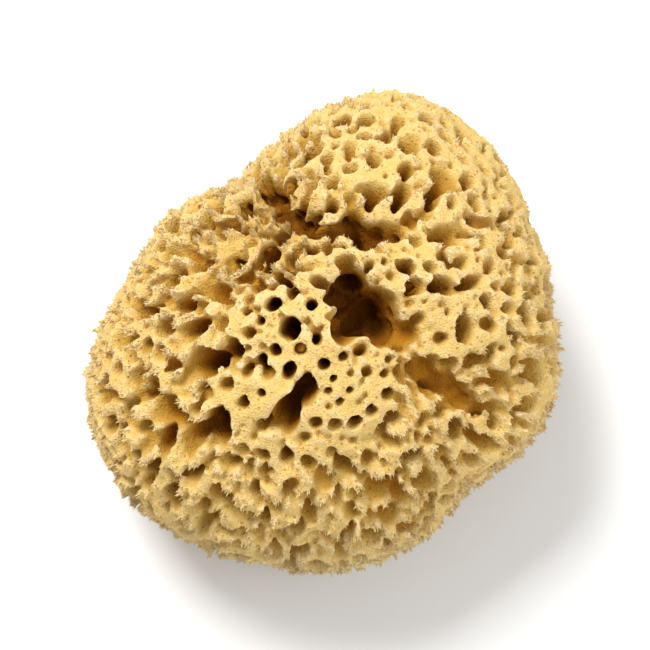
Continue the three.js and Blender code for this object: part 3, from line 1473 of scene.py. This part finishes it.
class Graph:
    """The nodes of one material."""

    def __init__(self, material: bpy.types.Material) -> None:
        """Clears the material's nodes.

        Args:
            material: The material to fill.
        """
        material.use_nodes = True
        self.tree = material.node_tree
        self.tree.nodes.clear()

    def node(
        self,
        kind: str,
        settings: dict[str, object] | None = None,
        sockets: dict[str | int, object] | None = None,
    ) -> bpy.types.Node:
        """Adds a node.

        Args:
            kind: The node's type.
            settings: Its properties. stops, on a ramp, is a list of (position, colour).
            sockets: A value or a link for each input, by name or number.

        Returns:
            The node.
        """
        node = self.tree.nodes.new(kind)
        for name, value in (settings or {}).items():
            if name == "stops":
                self._set_stops(node.color_ramp, value)
            else:
                setattr(node, name, value)
        for name, value in (sockets or {}).items():
            target = node.inputs[name]
            source = value.socket if isinstance(value, Value) else value
            if isinstance(source, bpy.types.NodeSocket):
                self.tree.links.new(source, target)
            else:
                target.default_value = source
        return node

    @staticmethod
    def _set_stops(ramp: bpy.types.ColorRamp, stops: Sequence[tuple[float, Sequence[float]]]) -> None:
        """Gives a ramp its stops."""
        while len(ramp.elements) > 1:
            ramp.elements.remove(ramp.elements[-1])
        ramp.elements[0].position, ramp.elements[0].color = stops[0]
        for position, colour in stops[1:]:
            ramp.elements.new(position).color = colour

    def attribute(self, name: str) -> Value:
        """Reads the numbers that store() kept on the mesh."""
        return Value(self, self.node("ShaderNodeAttribute", {"attribute_name": name}).outputs["Fac"])

    def noise(self, place: bpy.types.NodeSocket, size: float, detail: float) -> Value:
        """Gives cloudy numbers round 0.5.

        Args:
            place: The coordinates.
            size: How far it is from cloud to cloud.
            detail: How many finer clouds are added.
        """
        node = self.node(
            "ShaderNodeTexNoise", None, {"Vector": place, "Scale": 1 / size, "Detail": detail}
        )
        return Value(self, node.outputs["Fac"])

    def pores(self, place: bpy.types.NodeSocket, spacing: float) -> Value:
        """Gives 1 in pin holes strewn over a surface, and 0 between them.

        Args:
            place: The coordinates.
            spacing: How far it is from one to the next, if none were missing.
        """
        cells = self.node("ShaderNodeTexVoronoi", None, {"Vector": place, "Scale": 1 / spacing})
        chance = self.node("ShaderNodeSeparateColor", None, {0: cells.outputs["Color"]})
        width = Value(self, chance.outputs[0]) * 0.22
        return 1 - (Value(self, cells.outputs["Distance"]) - width).between(0.0, 0.09)

    def mixed(self, share: "Value | float", first: object, second: object) -> bpy.types.NodeSocket:
        """Mixes two colours.

        Args:
            share: How much of the second, from 0 to 1.
            first: A colour or a link.
            second: A colour or a link.
        """
        node = self.node(
            "ShaderNodeMix", {"data_type": "RGBA"}, {0: share, 6: first, 7: second}
        )
        return node.outputs[2]


def colour(red: float, green: float, blue: float) -> tuple[float, float, float, float]:
    """Gives a colour as a ramp or a socket takes it."""
    return (red, green, blue, 1.0)


@dataclass(frozen=True)
class Spongin:
    """The dry, felted fibre that the whole sponge is made of.

    It is paler on sharp ridges and at the tips of its points, partly as bleached fibre and partly as a
    painted highlight.
    It is darker and browner down in the canals, partly as its own browner fibre and partly as painted
    shade, and its pin holes are darkened with painted shade. At deepest, in millimetres, it is as dark
    as it gets. Below weathered_to the skin is greyer and duller, partly as fibre worn grey and partly
    as painted shade. Each size is how far it is from one patch, blotch and so on to the next.
    """

    tip: tuple[float, ...] = colour(0.85, 0.67, 0.39)
    skin: tuple[float, ...] = colour(0.75, 0.52, 0.17)
    wall: tuple[float, ...] = colour(0.53, 0.315, 0.060)
    throat: tuple[float, ...] = colour(0.41, 0.18, 0.014)
    deep: tuple[float, ...] = colour(0.26, 0.09, 0.005)
    weathered: tuple[float, ...] = colour(0.64, 0.53, 0.29)
    patch_size: float = 22 * MM
    blotch_size: float = 5 * MM
    grain_size: float = 1.3 * MM
    mesh_size: float = 0.9 * MM
    felt_size: float = 0.7 * MM
    felt_height: float = 0.42 * MM
    pore_spacing: float = 1.9 * MM
    deepest: float = 12.0
    weathered_to: float = 62 * MM

    def material(self) -> bpy.types.Material:
        """Makes the material."""
        material = bpy.data.materials.new("spongin")
        graph = Graph(material)
        place = graph.node("ShaderNodeTexCoord").outputs["Object"]
        height = Value(graph, graph.node("ShaderNodeSeparateXYZ", None, {0: place}).outputs["Z"])
        depth = graph.attribute("depth")
        crest = graph.attribute("crest")
        patches = graph.noise(place, self.patch_size, 2.0)
        blotches = graph.noise(place, self.blotch_size, 3.0)
        felt = graph.noise(place, self.felt_size, 4.0)
        # Darker and browner the deeper below the skin: partly the fibre's own browner colour, partly
        # painted shade in the canals.
        down = (depth + (blotches - 0.5) * 3.0 + (felt - 0.5) * 1.2) / self.deepest
        ramp = graph.node(
            "ShaderNodeValToRGB",
            {
                "stops": [
                    (0.00, self.skin),
                    (0.08, self.skin),
                    (0.28, self.wall),
                    (0.58, self.throat),
                    (1.00, self.deep),
                ]
            },
            {0: down},
        )
        # Greyer and duller towards the foot: partly fibre worn grey, partly painted shade.
        aged_and_shaded = (1 - height.between(18 * MM, self.weathered_to)) * (0.35 + 0.9 * patches)
        tone = graph.mixed(aged_and_shaded * (1 - down.between(0.1, 0.5)) * 0.8, ramp.outputs[0], self.weathered)
        # Paler on sharp ridges: partly bleached fibre, partly a painted highlight.
        pale = crest.between(0.0, 0.36) * (1 - down.between(0.15, 0.5)) * (0.5 + 0.6 * blotches)
        tone = graph.mixed(pale, tone, self.tip)
        specks = (1 - felt.between(0.30, 0.46)) * 0.28
        tone = graph.mixed(specks, tone, self.throat)
        # Pin holes darkened with the throat's colour: painted shade in them, over the dips that the
        # bump sinks there.
        pores = graph.pores(place, self.pore_spacing)
        tone = graph.mixed(pores * 0.5, tone, self.throat)
        fibres = graph.node(
            "ShaderNodeTexVoronoi",
            {"feature": "DISTANCE_TO_EDGE"},
            {"Vector": place, "Scale": 1 / self.mesh_size},
        )
        net = Value(graph, fibres.outputs["Distance"]).between(0.0, 0.25)
        grains = graph.noise(place, self.grain_size, 2.0)
        relief = felt * 1.3 + (1 - net) * 0.5 + grains * 1.6 - pores * 1.6
        bump = graph.node(
            "ShaderNodeBump", None, {"Height": relief, "Strength": 0.75, "Distance": self.felt_height}
        )
        shader = graph.node(
            "ShaderNodeBsdfPrincipled",
            {"subsurface_method": "RANDOM_WALK"},
            {
                "Base Color": tone,
                "Roughness": 0.95,
                "Specular IOR Level": 0.08,
                "Subsurface Weight": 0.15,
                "Subsurface Radius": (1.0, 0.5, 0.15),
                "Subsurface Scale": 1.6 * MM,
                "Normal": bump.outputs[0],
            },
        )
        graph.node("ShaderNodeOutputMaterial", None, {"Surface": shader.outputs[0]})
        return material


@dataclass(frozen=True)
class FloorPaint:
    """The plain matt white of the floor."""

    shade: tuple[float, ...] = colour(0.87, 0.87, 0.87)

    def material(self) -> bpy.types.Material:
        """Makes the material."""
        material = bpy.data.materials.new("floor_paint")
        graph = Graph(material)
        shader = graph.node(
            "ShaderNodeBsdfPrincipled", None, {"Base Color": self.shade, "Roughness": 0.9}
        )
        graph.node("ShaderNodeOutputMaterial", None, {"Surface": shader.outputs[0]})
        return material


# ---------------------------------------------------------------------------------------------
# The studio
# ---------------------------------------------------------------------------------------------


@dataclass(frozen=True)
class Lamp:
    """A square soft light that points at the sponge."""

    name: str
    place: tuple[float, float, float]
    size: float
    power: float
    tint: tuple[float, float, float] = (1.0, 1.0, 1.0)

    def hang(self, target: Vector) -> None:
        """Hangs the light.

        Args:
            target: What it points at.
        """
        light = bpy.data.lights.new(self.name, "AREA")
        light.size = self.size
        light.energy = self.power
        light.color = self.tint
        holder = bpy.data.objects.new(self.name, light)
        holder.location = self.place
        aim = target - Vector(self.place)
        holder.rotation_euler = aim.to_track_quat("-Z", "Y").to_euler()
        bpy.context.scene.collection.objects.link(holder)


@dataclass
class Studio:
    """A pale floor, soft light from above, and a camera that looks down on the crown.

    camera_up is in degrees, and the camera and the lamps aim at aim_share of the sponge's height.
    """

    camera_up: float = 70.0
    camera_away: float = 0.47
    lens: float = 85.0
    room_light: float = 0.46
    aim_share: float = 0.47
    floor_size: float = 6.0
    lamps: tuple[Lamp, ...] = (
        Lamp("key", (-0.32, 0.36, 0.80), 0.38, 9.3, (1.0, 0.985, 0.96)),
        Lamp("side", (0.60, -0.38, 0.62), 0.8, 4.4),
    )

    def build(self) -> None:
        """Lays the floor, hangs the lights and sets the camera."""
        low, high = (Vector(corner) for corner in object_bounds())
        target = (low + high) / 2
        target.z = self.aim_share * high.z
        bpy.ops.object.select_all(action="DESELECT")
        bpy.ops.mesh.primitive_plane_add(size=self.floor_size, location=(0, 0, 0))
        floor = bpy.context.object
        floor.name = "floor"
        floor.data.materials.append(FloorPaint().material())
        floor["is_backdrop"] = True
        world = bpy.data.worlds.new("room")
        bpy.context.scene.world = world
        world.use_nodes = True
        backdrop = world.node_tree.nodes["Background"]
        backdrop.inputs["Color"].default_value = colour(1.0, 1.0, 1.0)
        backdrop.inputs["Strength"].default_value = self.room_light
        for lamp in self.lamps:
            lamp.hang(target)
        up = math.radians(self.camera_up)
        camera = bpy.data.cameras.new("camera")
        camera.lens = self.lens
        eye = bpy.data.objects.new("camera", camera)
        eye.location = target + Vector((0, -math.cos(up), math.sin(up))) * self.camera_away
        eye.rotation_euler = (target - eye.location).to_track_quat("-Z", "Y").to_euler()
        bpy.context.scene.collection.objects.link(eye)
        bpy.context.scene.camera = eye
        bpy.context.scene.view_settings.view_transform = "Standard"


def dress(piece: bpy.types.Object, material: bpy.types.Material, angle: float) -> None:
    """Gives a piece its material, smooths its shading and settles what it rides on.

    Args:
        piece: The piece.
        material: Its material.
        angle: The sharpest edge, in degrees, that is still shaded smooth.
    """
    pick(piece)
    bpy.ops.object.shade_smooth_by_angle(angle=math.radians(angle))
    piece.data.materials.clear()
    piece.data.materials.append(material)
    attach(piece, "root")
    LOG.info("%s: %d faces", piece.name, len(piece.data.polygons))


def main() -> None:
    """Builds the sponge and its studio."""
    logging.basicConfig(level=logging.INFO, format="%(message)s", stream=sys.stdout)
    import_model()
    spongin = Spongin().material()
    dome = Dome()
    pattern = CanalPattern(dome)
    body = SpongeBody(dome, pattern, Tufts(dome, pattern)).build()
    dress(body, spongin, angle=45)
    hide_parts("sponge")
    for points in Fringe(body, dome, pattern).build():
        dress(points, spongin, angle=80)
    Studio().build()


if __name__ == "__main__":
    main()
